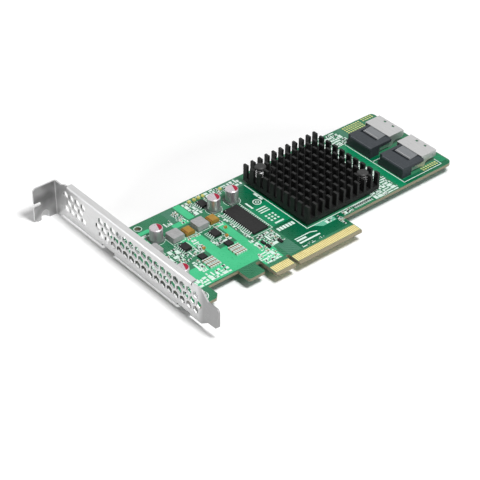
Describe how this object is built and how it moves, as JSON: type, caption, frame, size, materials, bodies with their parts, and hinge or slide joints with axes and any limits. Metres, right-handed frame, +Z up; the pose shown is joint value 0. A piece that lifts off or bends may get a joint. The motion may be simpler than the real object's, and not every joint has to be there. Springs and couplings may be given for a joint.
{
  "type": "raid controller card",
  "caption": "Storage controller card: green circuit board with keyed edge connector, vented slot bracket, pin-fin heatsink and two internal cable ports.",
  "frame": {"origin": "middle of the bottom of the card's overall box, level with the lowest edge of the bracket's screw tab", "axes": "+X from the bracket along the board to the cable ports, +Y from the edge connector to the bracket's screw tab, +Z up out of the board's component side"},
  "size_m": [0.1798, 0.12, 0.0205],
  "materials": {
    "base_moulding": "moulded",
    "board": "semi-gloss green solder mask",
    "bracket_steel": "bright plated",
    "can_aluminium": "drawn",
    "ceramic_tan": "fired",
    "chip_black": "moulded",
    "gold": "gold plated",
    "heatsink_black": "black anodised",
    "inductor_grey": "pressed ferrite",
    "latch_steel": "spring temper",
    "light_yellow": "clear cap",
    "pad_grey": "soft",
    "port_plastic": "moulded",
    "push_pin_plastic": "moulded",
    "resistor_black": "glazed",
    "screw_steel": "plated",
    "shield_steel": "tin plated",
    "spring_steel": "drawn wire",
    "tantalum_tan": "moulded",
    "tin": "tinned"
  },
  "bodies": {
    "root": {"bracket": "bracket_steel", "bracket_screws": "screw_steel", "capacitor_base_1": "base_moulding", "capacitor_base_2": "base_moulding", "capacitor_base_3": "base_moulding", "capacitor_base_4": "base_moulding", "capacitor_can_1": "can_aluminium", "capacitor_can_2": "can_aluminium", "capacitor_can_3": "can_aluminium", "capacitor_can_4": "can_aluminium", "chip_capacitors": "ceramic_tan", "chip_resistors": "resistor_black", "circuit_board": "board", "controller_chip": "chip_black", "edge_contacts_back": "gold", "edge_contacts_front": "gold", "heatsink": "heatsink_black", "indicator_lights": "light_yellow", "inductor_1": "inductor_grey", "inductor_2": "inductor_grey", "inductor_3": "inductor_grey", "inductor_terminals": "tin", "memory_chip": "chip_black", "memory_chip_leads": "tin", "port_1_contacts": "gold", "port_1_housing": "port_plastic", "port_1_latch": "latch_steel", "port_1_shield": "shield_steel", "port_2_contacts": "gold", "port_2_housing": "port_plastic", "port_2_latch": "latch_steel", "port_2_shield": "shield_steel", "power_chip_1": "chip_black", "power_chip_2": "chip_black", "power_chip_3": "chip_black", "power_chip_leads": "tin", "push_pin_1": "push_pin_plastic", "push_pin_2": "push_pin_plastic", "push_pin_spring_1": "spring_steel", "push_pin_spring_2": "spring_steel", "regulator_1": "chip_black", "regulator_2": "chip_black", "tantalum_capacitor_1": "tantalum_tan", "tantalum_capacitor_2": "tantalum_tan", "tantalum_terminals": "tin", "thermal_pad": "pad_grey", "transistors": "chip_black"}
  },
  "joints": []
}
